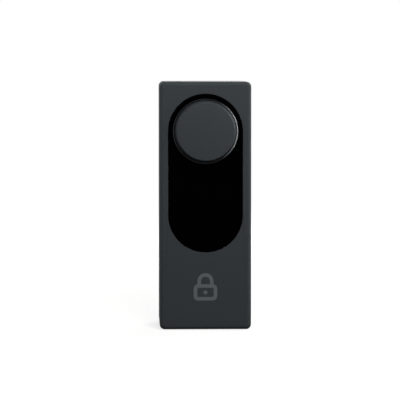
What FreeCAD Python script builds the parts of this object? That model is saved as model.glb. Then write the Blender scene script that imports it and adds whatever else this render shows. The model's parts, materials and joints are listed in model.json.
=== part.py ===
import FreeCAD, Part
import math
import os
from FreeCAD import Vector

# Keypad smart lock for a euro-profile door: an indoor drive unit with a turning knob, a modular
# cylinder that runs through the door, and an outdoor keypad unit on the cylinder's outer end.
#
# Frame, in millimetres: the origin is where the cylinder's axis meets the door's inner face.
# +Z is up, +Y runs along the cylinder to the outside, and the indoor unit's front faces -Y.

# ---- driving dimensions -------------------------------------------------------------------------
DOOR = 50.0            # thickness of the door leaf between the two units
WIDTH = 53.6           # indoor unit, across
TOP = 28.9             # indoor unit, top above the cylinder's axis
BOTTOM = -116.1        # indoor unit, bottom
FRONT = -48.0          # indoor unit, front face
SHELL_BACK = -0.8      # the shell stops just short of the door
SHELL_WALL = 2.2
FRONT_WALL = 2.0
CORNER_ROUND = 3.0     # radius of the shell's four long corners
FRONT_ROUND = 2.2      # radius round the shell's front face

FASCIA_R = 21.8        # half width of the fascia's window
FASCIA_DROP = 49.0     # from the window's upper arc centre to its lower one
KNOB_R = 19.08         # the knob's foot, at its trim ring
CAP_FOOT_R = 18.03     # the knob's cap where it meets the ring
KNOB_FACE_R = 16.88    # the knob's front
KNOB_FRONT = -58.0

PAD_R = 25.0           # keypad unit, half width
PAD_DROP = 24.0        # keypad unit, from its upper arc centre to its lower one
PAD_DEPTH = 36.0
PAD_WALL = 2.0
PAD_CHAMFER = 1.2
PAD_SOFT = 0.25        # radius on the keypad unit's outer edges

PROFILE_R = 8.5        # euro profile: round head
WEB_HALF = 5.0         # euro profile: half the web's width
PROFILE_LOW = -24.5    # euro profile: lowest point
PLUG_R = 6.5
CAM_R = 15.0
CYL_IN = -5.0          # the cylinder's indoor end
CYL_OUT = DOOR + 10.0  # the cylinder's outdoor end
CAM_MID = DOOR / 2
CAM_HALF = 5.2         # half the gap that the cam turns in

CELL_R = 8.5           # CR123A cell
CELL_LONG = 34.5
NUB_R, NUB_HIGH = 3.2, 1.0   # the cell's raised contact

FIT = 0.05             # running clearance, on the radius
GAP = 0.3              # clearance between parts that pass each other

# ---- depths of the indoor unit's layers, from the door forwards -----------------------------------
PLATE_BACK, PLATE_FRONT = -1.0, -4.0
CHASSIS_BACK, CHASSIS_FLOOR = PLATE_FRONT, -6.5
MAIN_LAYER = (-13.5, -7.5)
SECOND_LAYER = (-17.5, -14.3)
FIRST_LAYER = (-21.5, -18.5)
COVER_BACK, COVER_FRONT = -22.0, -24.0
BEARING_FRONT, BEARING_BACK = -29.2, -24.2
BOARD_BACK, BOARD_FRONT = -41.0, -42.6
FASCIA_BACK, FLANGE_FRONT, FASCIA_FRONT = -44.9, -45.9, -47.5

# ---- gear train -------------------------------------------------------------------------------------
PRESSURE = math.radians(25)
BACKLASH = 0.12
MAIN_TEETH, WHEEL_TEETH, PINION_TEETH = 50, 40, 12
MAIN_MODULE, SECOND_MODULE, FIRST_MODULE = 0.8, 0.6, 0.5
SECOND_Z = -MAIN_MODULE * (MAIN_TEETH + PINION_TEETH) / 2
FIRST_Z = SECOND_Z - SECOND_MODULE * (WHEEL_TEETH + PINION_TEETH) / 2
MOTOR_Z = FIRST_Z - FIRST_MODULE * (WHEEL_TEETH + PINION_TEETH) / 2
AXLE_R = 1.5
SHAFT_R = 4.0
BEARING_R = 8.0
MOTOR_SHAFT_R = 1.0
MOTOR_R = 12.2
MOTOR_BOSS_R = 3.4
MOTOR_SCREWS_X = (-8.0, 8.0)

# ---- places that several pieces share ------------------------------------------------------------
CHASSIS_X, CHASSIS_TOP, CHASSIS_LOW = 24.3, TOP - 2.5, BOTTOM + 2.5
CHASSIS_WALL = 1.6
CHASSIS_SCREWS = [(x, z) for x in (-19.5, 19.5) for z in (-30.0, -66.0)]
COVER_SCREWS = [(x, z) for x in (-20.6, 20.6) for z in (15.5, -15.5)] + [(-18.4, -48.0), (18.4, -48.0)]
BOARD_SCREWS = [(x, z) for x in (-16.6, 16.6) for z in (-27.5, -66.0)]
DOOR_SCREW_R = 2.2
DOOR_SCREWS = [(x, z) for x in (-16.0, 16.0) for z in (16.0, -52.0)]
UPPER_MAGNETS = [(-21.9, 23.8), (21.9, 23.8)]
LOWER_MAGNETS = [(-22.2, -92.0), (22.2, -92.0)]
MAGNET_R = 2.0
MAGNET_FACE = -43.9    # where the chassis magnets meet the shell's magnets, less a small gap
CELL_X = 9.45
CELL_Y = (-16.4, -34.2)
TRAY = (19.6, -6.6, -43.0, -111.9, -70.4)   # half width, back, front, low, high
TRAY_WALL = 1.2
TRAY_FLOOR = TRAY[1] - TRAY_WALL
TRAY_SCREWS = [(s * 16.2, z) for s in (-1, 1) for z in (TRAY[3] + 3.2, TRAY[4] - 3.2)]
CELL_LOW = -109.9


# ---- basic shapes -----------------------------------------------------------------------------------
def block(x0, x1, y0, y1, z0, z1):
    """Box between two corners, given in either order along each axis."""
    lo = Vector(min(x0, x1), min(y0, y1), min(z0, z1))
    return Part.makeBox(abs(x1 - x0), abs(y1 - y0), abs(z1 - z0), lo)


def rod(r, y0, y1, x=0.0, z=0.0):
    """Cylinder along Y."""
    return Part.makeCylinder(r, abs(y1 - y0), Vector(x, min(y0, y1), z), Vector(0, 1, 0))


def rod_x(r, x0, x1, y, z):
    return Part.makeCylinder(r, abs(x1 - x0), Vector(min(x0, x1), y, z), Vector(1, 0, 0))


def rod_z(r, z0, z1, x, y):
    return Part.makeCylinder(r, abs(z1 - z0), Vector(x, y, min(z0, z1)), Vector(0, 0, 1))


def ring(r_out, r_in, y0, y1, x=0.0, z=0.0):
    return rod(r_out, y0, y1, x, z).cut(rod(r_in, y0, y1, x, z))


def join(shapes):
    """One solid from touching shapes, with the seams between coplanar faces removed."""
    first, rest = shapes[0], shapes[1:]
    return (first.multiFuse(rest) if rest else first).removeSplitter()


def drill(shape, tools):
    return shape.cut(Part.makeCompound(tools))


def group(shapes):
    """Separate solids that share one node."""
    return Part.makeCompound(shapes)


def edges_along(shape, axis):
    """Straight edges of a shape that run along a unit vector."""
    found = []
    for e in shape.Edges:
        run = e.Vertexes[-1].Point.sub(e.Vertexes[0].Point)
        if e.Curve.TypeId == "Part::GeomLine" and run.Length > 0 and abs(run.dot(axis)) > 0.999 * run.Length:
            found.append(e)
    return found


def rounded(x0, x1, y0, y1, z0, z1, r):
    """Box whose four edges along Y are rounded."""
    box = block(x0, x1, y0, y1, z0, z1)
    return box.makeFillet(r, edges_along(box, Vector(0, 1, 0)))


def stadium(r, drop, y0, y1):
    """Upright stadium prism along Y: its upper arc is centred on the cylinder's axis."""
    return join([rod(r, y0, y1), rod(r, y0, y1, 0, -drop), block(-r, r, y0, y1, -drop, 0)])


def euro(grow, y0, y1):
    """Euro-profile prism along Y, grown all round."""
    foot = WEB_HALF + grow
    low = PROFILE_LOW + WEB_HALF
    return join([
        rod(PROFILE_R + grow, y0, y1),
        rod(foot, y0, y1, 0, low),
        block(-foot, foot, y0, y1, low, 0),
    ])


def turned(points, x=0.0, z=0.0):
    """Solid of revolution about an axis along Y, from (radius, y) points."""
    wire = Part.makePolygon([Vector(r, y, 0) for r, y in points + points[:1]])
    solid = Part.Face(wire).revolve(Vector(0, 0, 0), Vector(0, 1, 0), 360)
    solid.translate(Vector(x, 0, z))
    return solid


def screw(x, z, head_r, head_y, head_h, shank_r, length):
    """Pan-head cross screw along Y, with its head in front of head_y and its shank behind."""
    head = rod(head_r, head_y - head_h, head_y, x, z)
    rim = [e for e in head.Edges if abs(e.CenterOfMass.y - (head_y - head_h)) < 1e-6 and e.Length > head_r]
    head = head.makeFillet(head_h * 0.4, rim)
    arm, wide, deep = head_r * 0.55, head_r * 0.14, head_h * 0.55
    top = head_y - head_h
    cross = [
        block(x - arm, x + arm, top, top + deep, z - wide, z + wide),
        block(x - wide, x + wide, top, top + deep, z - arm, z + arm),
    ]
    return drill(join([head, rod(shank_r, head_y, head_y + length, x, z)]), cross)


# ---- gears --------------------------------------------------------------------------------------------
def gear(module, teeth, layer, z, phase_deg, bore):
    """Involute spur gear along Y on the line x = 0. A tooth is centred at phase_deg, from +X towards +Z."""
    pitch_r = module * teeth / 2
    base_r = pitch_r * math.cos(PRESSURE)
    tip_r = pitch_r + 0.95 * module
    root_r = pitch_r - 1.2 * module
    at_pitch = math.pi / (2 * teeth) - BACKLASH / (4 * pitch_r)

    def half_angle(r):
        slope = math.acos(min(1.0, base_r / r))
        return at_pitch + (math.tan(PRESSURE) - PRESSURE) - (math.tan(slope) - slope)

    start = max(base_r, root_r)
    steps = 4
    flank = [(start + (tip_r - start) * i / steps) for i in range(steps + 1)]
    side = [(root_r, half_angle(start))] if root_r < base_r else []
    side += [(r, half_angle(r)) for r in flank]
    points = []
    for k in range(teeth):
        centre = math.radians(phase_deg) + 2 * math.pi * k / teeth
        tooth = [(r, centre - a) for r, a in side] + [(r, centre + a) for r, a in reversed(side)]
        points += [Vector(r * math.cos(a), layer[0], z + r * math.sin(a)) for r, a in tooth]
    blank = Part.Face(Part.makePolygon(points + points[:1])).extrude(Vector(0, layer[1] - layer[0], 0))
    return blank.cut(rod(bore, layer[0], layer[1], 0, z))


def meshing_phase():
    """Phase that puts a pinion's gap where the wheel above it has its lowest tooth."""
    return 90 + 180 / PINION_TEETH


def main_gear():
    wheel = gear(MAIN_MODULE, MAIN_TEETH, MAIN_LAYER, 0, -90, SHAFT_R)
    back, front = MAIN_LAYER[1], MAIN_LAYER[0]
    web_r, web_in, deep = 17.0, 8.0, 2.0
    pockets = [ring(web_r, web_in, front, front + deep), ring(web_r, web_in, back - deep, back)]
    mid = (web_r + web_in) / 2
    holes = [
        rod(2.6, front, back, mid * math.cos(a), mid * math.sin(a))
        for a in (math.radians(60 * k) for k in range(6))
    ]
    hub = ring(web_in - 1.0, SHAFT_R, front - 1.6, front)
    return join([drill(wheel, pockets + holes), hub])


def second_gear():
    """Compound gear: its wheel meshes with the first gear's pinion, its own pinion with the main gear."""
    wheel = gear(SECOND_MODULE, WHEEL_TEETH, SECOND_LAYER, SECOND_Z, -90, AXLE_R + FIT)
    span = (SECOND_LAYER[1], MAIN_LAYER[1])
    pinion = gear(MAIN_MODULE, PINION_TEETH, span, SECOND_Z, meshing_phase(), AXLE_R + FIT)
    return join([wheel, pinion])


def first_gear():
    """Compound gear: its wheel meshes with the motor's pinion, its own pinion with the second gear."""
    wheel = gear(FIRST_MODULE, WHEEL_TEETH, FIRST_LAYER, FIRST_Z, -90, AXLE_R + FIT)
    span = (FIRST_LAYER[1], SECOND_LAYER[1] + GAP)
    pinion = gear(SECOND_MODULE, PINION_TEETH, span, FIRST_Z, meshing_phase(), AXLE_R + FIT)
    return join([wheel, pinion])


def motor_pinion():
    return gear(FIRST_MODULE, PINION_TEETH, FIRST_LAYER, MOTOR_Z, meshing_phase(), MOTOR_SHAFT_R)


def gear_axles():
    return group([rod(AXLE_R, -5.0, COVER_FRONT + 0.5, 0, z) for z in (SECOND_Z, FIRST_Z)])


# ---- motor ----------------------------------------------------------------------------------------------
MOTOR_END = -38.4


def motor_can():
    """Steel can with its front boss, bored for the shaft, with two tapped holes for its screws."""
    can = rod(MOTOR_R, MOTOR_END, COVER_FRONT, 0, MOTOR_Z)
    can = can.makeFillet(0.8, [e for e in can.Edges if e.Curve.TypeId == "Part::GeomCircle"])
    boss = rod(MOTOR_BOSS_R, COVER_FRONT, COVER_BACK, 0, MOTOR_Z)
    taps = [rod(1.0, COVER_FRONT - 2.5, COVER_FRONT, x, MOTOR_Z) for x in MOTOR_SCREWS_X]
    bore = rod(MOTOR_SHAFT_R + FIT, MOTOR_END, COVER_BACK, 0, MOTOR_Z)
    return drill(join([can, boss]), taps + [bore])


def motor_end_cap():
    """Moulded end cap with its two terminal tabs."""
    top = MOTOR_END - 1.2
    tabs = [block(x - 1.2, x + 1.2, top - 0.9, top, MOTOR_Z - 7.3, MOTOR_Z - 6.8) for x in (-4.5, 4.5)]
    cap = join([rod(10.6, top, MOTOR_END, 0, MOTOR_Z)] + tabs)
    return cap.cut(rod(MOTOR_SHAFT_R + FIT, top, MOTOR_END, 0, MOTOR_Z))


def motor_shaft():
    return rod(MOTOR_SHAFT_R, MOTOR_END - 0.9, -17.6, 0, MOTOR_Z)


def motor_screws():
    """Screws that hold the motor, with their heads in the gear space behind the gearbox cover."""
    made = []
    for x in MOTOR_SCREWS_X:
        head = rod(1.9, COVER_BACK, COVER_BACK + 1.0, x, MOTOR_Z)
        slot = block(x - 1.4, x + 1.4, COVER_BACK + 0.5, COVER_BACK + 1.0, MOTOR_Z - 0.25, MOTOR_Z + 0.25)
        made.append(join([head, rod(1.0, COVER_FRONT - 2.2, COVER_BACK, x, MOTOR_Z)]).cut(slot))
    return made


# ---- indoor unit: shell ---------------------------------------------------------------------------------
def magnet_disc(x, z, face, towards):
    return rod(MAGNET_R, face, face + towards * 2.0, x, z)


def front_shell():
    """One deep cup that slides on from the front, with the fascia's window and the mark's pocket."""
    half = WIDTH / 2
    shell = rounded(-half, half, FRONT, SHELL_BACK, BOTTOM, TOP, CORNER_ROUND)
    shell = shell.makeFillet(FRONT_ROUND, [e for e in shell.Edges if e.BoundBox.YMax < FRONT + 0.01])
    inside = rounded(
        -half + SHELL_WALL, half - SHELL_WALL, FRONT + FRONT_WALL, SHELL_BACK,
        BOTTOM + SHELL_WALL, TOP - SHELL_WALL, 1.2,
    )
    window = stadium(FASCIA_R, FASCIA_DROP, FRONT, FRONT + FRONT_WALL)
    shell = drill(shell, [inside, window])
    back = FRONT + FRONT_WALL
    ribs = [block(-20.0, 20.0, back, back + 1.4, z - 0.6, z + 0.6) for z in (-82.0, -104.0)]
    cups = [ring(MAGNET_R + 1.0, MAGNET_R, back, back + 1.8, x, z).common(inside) for x, z in UPPER_MAGNETS]
    return join([shell] + ribs + cups).cut(lock_mark())


def shell_magnets():
    """Disc magnets inside the shell's front wall, one over each chassis magnet."""
    return group([magnet_disc(x, z, FRONT + FRONT_WALL, 1) for x, z in UPPER_MAGNETS + LOWER_MAGNETS])


def fascia_panel():
    """Gloss panel in the shell's window: a flange behind the wall and a raised field, bored for the knob."""
    flange = stadium(FASCIA_R + 1.4, FASCIA_DROP, FLANGE_FRONT, FASCIA_BACK)
    field = stadium(FASCIA_R - 0.06, FASCIA_DROP, FASCIA_FRONT, FLANGE_FRONT)
    return join([flange, field]).cut(rod(KNOB_R + 0.6, FASCIA_FRONT, FASCIA_BACK))


def lock_mark():
    """Plain padlock sign in outline, inlaid in the front below the fascia, with a dot for its keyhole."""
    stroke, mid = 2.1, -94.2
    back, front = FRONT + 0.3, FRONT - 0.05
    body = rounded(-6.9, 6.9, back, front, mid - 4.8, mid + 4.8, 2.6).cut(
        rounded(-6.9 + stroke, 6.9 - stroke, back, front, mid - 4.8 + stroke, mid + 4.8 - stroke, 0.9)
    )
    arch_z = mid + 6.6
    arch = ring(4.7, 4.7 - stroke, back, front, 0, arch_z).cut(block(-6, 6, back, front, arch_z - 6, arch_z))
    legs = [block(s * 4.7, s * (4.7 - stroke), back, front, mid + 4.0, arch_z) for s in (-1, 1)]
    return group([join([body, arch] + legs), rod(1.15, back, front, 0, mid)])


# ---- indoor unit: knob and shaft ------------------------------------------------------------------------
KNOB_BACK = -45.6
SHAFT_END = -47.0      # bottom of the hub's bore, just past the shaft's end
TRIM_BACK, TRIM_FRONT = -46.4, -50.2
TRIM_SHOULDER = 1.0
CAP_WALL = 2.0
CAP_INSIDE = KNOB_FRONT + 1.8
CAP_EDGE = 0.35        # chamfer round the knob's front
HUB_R = 7.0
SEAT_R = CAP_FOOT_R - CAP_WALL
GRUB_R, GRUB_Y = 1.5, -40.0   # the knob's grub screw


def knob_body():
    """Hub, web and foot in one moulding; the hub slides on to the shaft."""
    web_back, web_front = TRIM_FRONT + 0.4, TRIM_FRONT - 1.2
    inner, flange = SEAT_R - 1.5, KNOB_R - 0.05
    body = turned([
        (SHAFT_R, -36.0), (HUB_R, -36.0), (HUB_R, web_back), (inner, web_back), (inner, KNOB_BACK),
        (flange, KNOB_BACK), (flange, TRIM_BACK), (SEAT_R, TRIM_BACK), (SEAT_R, TRIM_FRONT),
        (SEAT_R - 0.3, web_front), (HUB_R, web_front), (HUB_R, CAP_INSIDE), (0.0, CAP_INSIDE),
        (0.0, SHAFT_END), (SHAFT_R, SHAFT_END),
    ])
    ribs = []
    for k in range(6):
        rib = block(HUB_R - 0.5, inner + 0.3, web_back, TRIM_BACK - 0.2, -0.6, 0.6)
        rib.rotate(Vector(0, 0, 0), Vector(0, 1, 0), 60 * k + 30)
        ribs.append(rib)
    tap = rod_z(GRUB_R, SHAFT_R - 0.2, HUB_R + 0.5, 0, GRUB_Y)
    return drill(join([body] + ribs), [tap])


def knob_cap():
    """Cap with a flat face and a slightly tapered side, down to the trim ring."""
    return turned([
        (0.0, KNOB_FRONT), (KNOB_FACE_R - CAP_EDGE, KNOB_FRONT), (KNOB_FACE_R, KNOB_FRONT + CAP_EDGE),
        (CAP_FOOT_R, TRIM_FRONT), (SEAT_R, TRIM_FRONT), (KNOB_FACE_R - CAP_WALL, CAP_INSIDE),
        (0.0, CAP_INSIDE),
    ])


def knob_trim_ring():
    """Polished ring under the cap, with a round shoulder."""
    trim = ring(KNOB_R, SEAT_R, TRIM_FRONT, TRIM_BACK)
    front = [e for e in trim.Edges if e.BoundBox.YMax < TRIM_FRONT + 0.01 and e.BoundBox.XMax > CAP_FOOT_R]
    return trim.makeFillet(TRIM_SHOULDER, front)


def shaft_fasteners():
    """Grub screw that holds the knob on the shaft, and the ring that holds the shaft against the bearing."""
    top = HUB_R - 0.2
    pin = rod_z(GRUB_R, SHAFT_R, top, 0, GRUB_Y)
    clip = ring(5.6, SHAFT_R, -30.0, -29.4).cut(block(-0.9, 0.9, -31, -29, -6, -3.5))
    return group([pin.cut(rod_z(0.7, top - 1.4, top, 0, GRUB_Y)), clip])


def drive_shaft():
    """Steel shaft with a flat tongue that drives the cylinder's inner rotor."""
    tongue = block(-3.0, 3.0, -6.2, -1.6, -1.25, 1.25)
    return join([rod(SHAFT_R, -46.8, -6.0), tongue])


def position_magnet():
    return ring(7.4, SHAFT_R, -33.0, -30.6)


BALL_R = 0.75
BALL_TRACK_R = 6.0
BALLS = 9
RACE_GAP = 0.85        # from the balls' track to each ring


def bearing_inner():
    return ring(BALL_TRACK_R - RACE_GAP, SHAFT_R, BEARING_FRONT, BEARING_BACK)


def bearing_outer():
    return ring(BEARING_R, BALL_TRACK_R + RACE_GAP, BEARING_FRONT, BEARING_BACK)


def bearing_balls():
    mid = (BEARING_FRONT + BEARING_BACK) / 2
    balls = []
    for k in range(BALLS):
        a = math.radians(360 / BALLS * k)
        place = Vector(BALL_TRACK_R * math.cos(a), mid, BALL_TRACK_R * math.sin(a))
        balls.append(Part.makeSphere(BALL_R, place))
    return group(balls)


# ---- indoor unit: structure -----------------------------------------------------------------------------
def plate_outline(y0, y1, shrink=0.0):
    return rounded(-22.5 + shrink, 22.5 - shrink, y0, y1, -70.0 + shrink, 24.0 - shrink, 3.0)


def plate_gasket():
    """Foam pad between the mounting plate and the door."""
    holes = [rod(DOOR_SCREW_R, PLATE_BACK, 0, x, z) for x, z in DOOR_SCREWS]
    return drill(plate_outline(PLATE_BACK, 0, 0.5), holes + [euro(0.6, PLATE_BACK, 0)])


def mounting_plate():
    """Aluminium plate with the cylinder's cut-out, countersunk screw holes, tapped holes and clamp screws."""
    plate = plate_outline(PLATE_FRONT, PLATE_BACK)
    tools = [euro(0.15, PLATE_FRONT, PLATE_BACK)]
    deep = PLATE_FRONT + 1.7
    for x, z in DOOR_SCREWS:
        tools.append(rod(DOOR_SCREW_R, PLATE_FRONT, PLATE_BACK, x, z))
        tools.append(turned([(0, PLATE_FRONT), (4.2, PLATE_FRONT), (DOOR_SCREW_R, deep), (0, deep)], x, z))
    tools += [rod(1.5, PLATE_FRONT, PLATE_BACK, x, z) for x, z in CHASSIS_SCREWS]
    tools += [rod_x(1.2, s * 8.0, s * 23.0, -2.5, 0) for s in (-1, 1)]
    return drill(plate, tools)


def cylinder_clamp_screws():
    """Grub screws through the plate's edge that grip the cylinder."""
    made = []
    for s in (-1, 1):
        pin = rod_x(1.2, s * PROFILE_R, s * 13.5, -2.5, 0)
        made.append(pin.cut(rod_x(0.6, s * 12.0, s * 13.5, -2.5, 0)))
    return group(made)


def chassis():
    """Moulded tray: floor, rim, a rib between gears and cells, screw posts and magnet posts."""
    tray = rounded(-CHASSIS_X, CHASSIS_X, COVER_BACK, CHASSIS_BACK, CHASSIS_LOW, CHASSIS_TOP, 1.5)
    hollow = rounded(
        -CHASSIS_X + CHASSIS_WALL, CHASSIS_X - CHASSIS_WALL, COVER_BACK, CHASSIS_FLOOR,
        CHASSIS_LOW + CHASSIS_WALL, CHASSIS_TOP - CHASSIS_WALL, 0.8,
    )
    tray = tray.cut(hollow)
    rib = block(-CHASSIS_X + 1, CHASSIS_X - 1, COVER_BACK, CHASSIS_FLOOR, -70.1, -69.1)
    posts = [rod(2.9, COVER_BACK, CHASSIS_FLOOR, x, z) for x, z in COVER_SCREWS]
    for x, z in UPPER_MAGNETS:
        side = math.copysign(CHASSIS_X, x)
        inner = side - math.copysign(5.0, x)
        posts.append(block(side, inner, MAGNET_FACE, CHASSIS_FLOOR, z - 2.5, CHASSIS_TOP))
    for x, z in LOWER_MAGNETS:
        side = math.copysign(CHASSIS_X, x)
        posts.append(block(side, side - math.copysign(4.5, x), MAGNET_FACE, CHASSIS_FLOOR, z - 2.8, z + 2.8))
    limit = rounded(-CHASSIS_X, CHASSIS_X, MAGNET_FACE, CHASSIS_FLOOR, CHASSIS_LOW, CHASSIS_TOP, 1.5)
    tools = [euro(0.3, CHASSIS_FLOOR, CHASSIS_BACK)]
    tools += [rod(1.6, CHASSIS_FLOOR, CHASSIS_BACK, x, z) for x, z in CHASSIS_SCREWS]
    tools += [rod(1.25, COVER_BACK, -11.0, x, z) for x, z in COVER_SCREWS]
    tools += [rod(AXLE_R, -5.0, CHASSIS_FLOOR, 0, z) for z in (SECOND_Z, FIRST_Z)]
    tools += [magnet_disc(x, z, MAGNET_FACE, 1) for x, z in UPPER_MAGNETS + LOWER_MAGNETS]
    return drill(join([tray, rib] + [post.common(limit) for post in posts]), tools)


def chassis_magnets():
    return group([magnet_disc(x, z, MAGNET_FACE, 1) for x, z in UPPER_MAGNETS + LOWER_MAGNETS])


def chassis_screws():
    """Screws from the chassis into the mounting plate, and from the battery tray into the chassis."""
    main = [screw(x, z, 2.7, CHASSIS_FLOOR, 1.9, 1.5, 5.0) for x, z in CHASSIS_SCREWS]
    return group(main + [screw(x, z, 1.9, TRAY_FLOOR, 0.9, 1.3, 1.2) for x, z in TRAY_SCREWS])


SENSOR_POSTS = [(-3.5, -17.0), (3.5, -17.0)]


def gearbox_cover():
    """Plate over the gears: it carries the bearing's seat, the motor and the board's posts."""
    plate = rounded(-22.7, 22.7, COVER_FRONT, COVER_BACK, -69.0, CHASSIS_TOP - CHASSIS_WALL - 0.2, 1.0)
    seat = rod(BEARING_R + 2.2, BEARING_FRONT, COVER_FRONT)
    posts = [rod(2.4, BOARD_BACK, COVER_FRONT, x, z) for x, z in BOARD_SCREWS]
    posts += [rod(1.4, -31.6, COVER_FRONT, x, z) for x, z in SENSOR_POSTS]
    tools = [rod(BEARING_R, BEARING_FRONT, BEARING_BACK), rod(BEARING_R - 1.6, BEARING_FRONT, COVER_BACK)]
    tools += [rod(1.35, COVER_FRONT, COVER_BACK, x, z) for x, z in COVER_SCREWS]
    tools += [rod(1.0, BOARD_BACK, BOARD_BACK + 6.0, x, z) for x, z in BOARD_SCREWS]
    tools += [rod(AXLE_R, COVER_FRONT + 0.5, COVER_BACK, 0, z) for z in (SECOND_Z, FIRST_Z)]
    tools += [rod(MOTOR_BOSS_R, COVER_FRONT, COVER_BACK, 0, MOTOR_Z)]
    tools += [rod(1.0, COVER_FRONT, COVER_BACK, x, MOTOR_Z) for x in MOTOR_SCREWS_X]
    for x, z in UPPER_MAGNETS:
        side = math.copysign(CHASSIS_X, x)
        tools.append(block(side, side - math.copysign(5.2, x), COVER_FRONT, COVER_BACK, z - 2.7, CHASSIS_TOP))
    return drill(join([plate, seat] + posts), tools)


def gearbox_screws():
    cover = [screw(x, z, 2.3, COVER_FRONT, 1.6, 1.25, 12.0) for x, z in COVER_SCREWS]
    board = [screw(x, z, 1.9, BOARD_FRONT, 1.2, 1.0, 6.0) for x, z in BOARD_SCREWS]
    return group(cover + board + motor_screws())


def sensor_board():
    """Small board that holds the position sensor beside the ring magnet."""
    board = block(-5.2, 5.2, -32.6, -31.6, -19.0, -9.2)
    chip = block(-1.6, 1.6, -31.6, -30.6, -11.6, -9.4)
    return join([board, chip])


# ---- indoor unit: electronics ------------------------------------------------------------------------
SWITCH = (-11.0, -34.0)


def main_board():
    board = rounded(-19.4, 19.4, BOARD_FRONT, BOARD_BACK, -68.9, -24.4, 1.5)
    return drill(board, [rod(1.1, BOARD_FRONT, BOARD_BACK, x, z) for x, z in BOARD_SCREWS])


def radio_module():
    """Radio and controller under a pressed shield."""
    return rounded(-2.0, 14.0, BOARD_FRONT - 1.5, BOARD_FRONT, -48.0, -36.0, 0.8)


def setup_switch():
    x, z = SWITCH
    body = block(x - 2.2, x + 2.2, BOARD_FRONT - 1.0, BOARD_FRONT, z - 2.2, z + 2.2)
    return body.cut(rod(1.3, BOARD_FRONT - 1.0, BOARD_FRONT - 0.2, x, z))


def setup_button():
    """Plunger of the setup switch; it is reached with the shell off."""
    x, z = SWITCH
    return rod(1.2, BOARD_FRONT - 1.7, BOARD_FRONT - 0.65, x, z)


def board_components():
    """Indicator lamps on the board's front; a sounder, a capacitor and the battery's header on its back."""
    lamps = [block(x - 0.8, x + 0.8, BOARD_FRONT - 0.7, BOARD_FRONT, -61.4, -60.6) for x in (-6.0, 0.0, 6.0)]
    sounder = rod(4.5, BOARD_BACK, BOARD_BACK + 4.0, -13.6, -36.5)
    sounder = sounder.cut(rod(0.8, BOARD_BACK + 3.0, BOARD_BACK + 4.0, -13.6, -36.5))
    capacitor = rod(3.2, BOARD_BACK, BOARD_BACK + 8.0, 14.0, -36.0)
    header = block(13.4, 18.8, BOARD_BACK, BOARD_BACK + 4.2, -61.0, -55.4)
    header = header.cut(block(14.2, 18.0, BOARD_BACK + 1.2, BOARD_BACK + 4.2, -60.2, -56.2))
    return group(lamps + [sounder, capacitor, header])


# ---- indoor unit: battery --------------------------------------------------------------------------------
def battery_tray():
    half, back, front, low, high = TRAY
    tray = block(-half, half, front, back, low, high)
    slots = [
        block(s * 0.5, s * (half - TRAY_WALL), front, back - TRAY_WALL, low + TRAY_WALL, high - TRAY_WALL)
        for s in (-1, 1)
    ]
    grips = [rod_x(9.0, -half, half, front - 3.0, (low + high) / 2)]
    screws = [rod(1.3, TRAY_FLOOR, back, x, z) for x, z in TRAY_SCREWS]
    return drill(tray, slots + grips + screws)


def battery_cell(x, y, up):
    """One cell with its nub; up turns the nub to the top."""
    low, high = CELL_LOW, CELL_LOW + CELL_LONG
    if up:
        return join([rod_z(CELL_R, low, high - NUB_HIGH, x, y), rod_z(NUB_R, high - NUB_HIGH, high, x, y)])
    return join([rod_z(CELL_R, low + NUB_HIGH, high, x, y), rod_z(NUB_R, low, low + NUB_HIGH, x, y)])


def battery_cells_front():
    return group([battery_cell(-CELL_X, CELL_Y[1], True), battery_cell(CELL_X, CELL_Y[1], False)])


def battery_cells_rear():
    return group([battery_cell(-CELL_X, CELL_Y[0], False), battery_cell(CELL_X, CELL_Y[0], True)])


def contact_plates():
    """Pressed plates along both ends of the slots."""
    low, high = TRAY[3] + TRAY_WALL, TRAY[4] - TRAY_WALL
    made = []
    for s in (-1, 1):
        for z0, z1 in ((low, low + 0.4), (high - 0.4, high)):
            made.append(block(s * 2.5, s * 16.5, CELL_Y[1] - 6.5, CELL_Y[0] + 6.5, z0, z1))
    return made


def coil_spring(x, y, z0, z1, r, wire, turns):
    """Coil about an axis along Z, with a round wire."""
    helix = Part.makeHelix((z1 - z0 - wire) / turns, z1 - z0 - wire, r)
    start = Vector(r, 0, 0)
    profile = Part.Wire(Part.makeCircle(wire / 2, start, Vector(0, 1, 0)))
    coil = Part.Wire(helix.Edges).makePipeShell([profile], True, True)
    coil.translate(Vector(x, y, z0 + wire / 2))
    return coil


def battery_contacts():
    """Contact plates, and the coil springs that press each cell down on its lower contact."""
    z0, z1 = CELL_LOW + CELL_LONG + 0.1, TRAY[4] - TRAY_WALL - 0.5
    springs = [coil_spring(x, y, z0, z1, 4.2, 0.7, 3) for x in (-CELL_X, CELL_X) for y in CELL_Y]
    return group(contact_plates() + springs)


# ---- cylinder --------------------------------------------------------------------------------------------
BRIDGE_TOP = -15.6
TONGUE = (2.5, -22.2, -17.0)     # half width, low and high of the bridge's tongues
FIXING_Z = -18.8
FIXING_R = 2.1
CROSS_PIN_R, CROSS_PIN_Z = 1.25, -19.6
CROSS_PIN_YS = (11.0, 39.0)      # one through each half and its tongue
DRIVER_R = 1.4
PLUG_CLIP_R = 7.5


def tongue(grow, y0, y1):
    half, low, high = TONGUE
    return block(-half - grow, half + grow, y0, y1, low - grow, high + grow)


def cylinder_inner_body():
    end = CAM_MID - CAM_HALF
    pin_hole = rod_x(CROSS_PIN_R, -6, 6, CROSS_PIN_YS[0], CROSS_PIN_Z)
    return drill(euro(0, CYL_IN, end), [rod(PLUG_R + FIT, CYL_IN, end), tongue(FIT, 7.0, end), pin_hole])


DRIVER_YS = [CAM_MID + CAM_HALF + 6.5 + 4.0 * k for k in range(5)]


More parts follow.
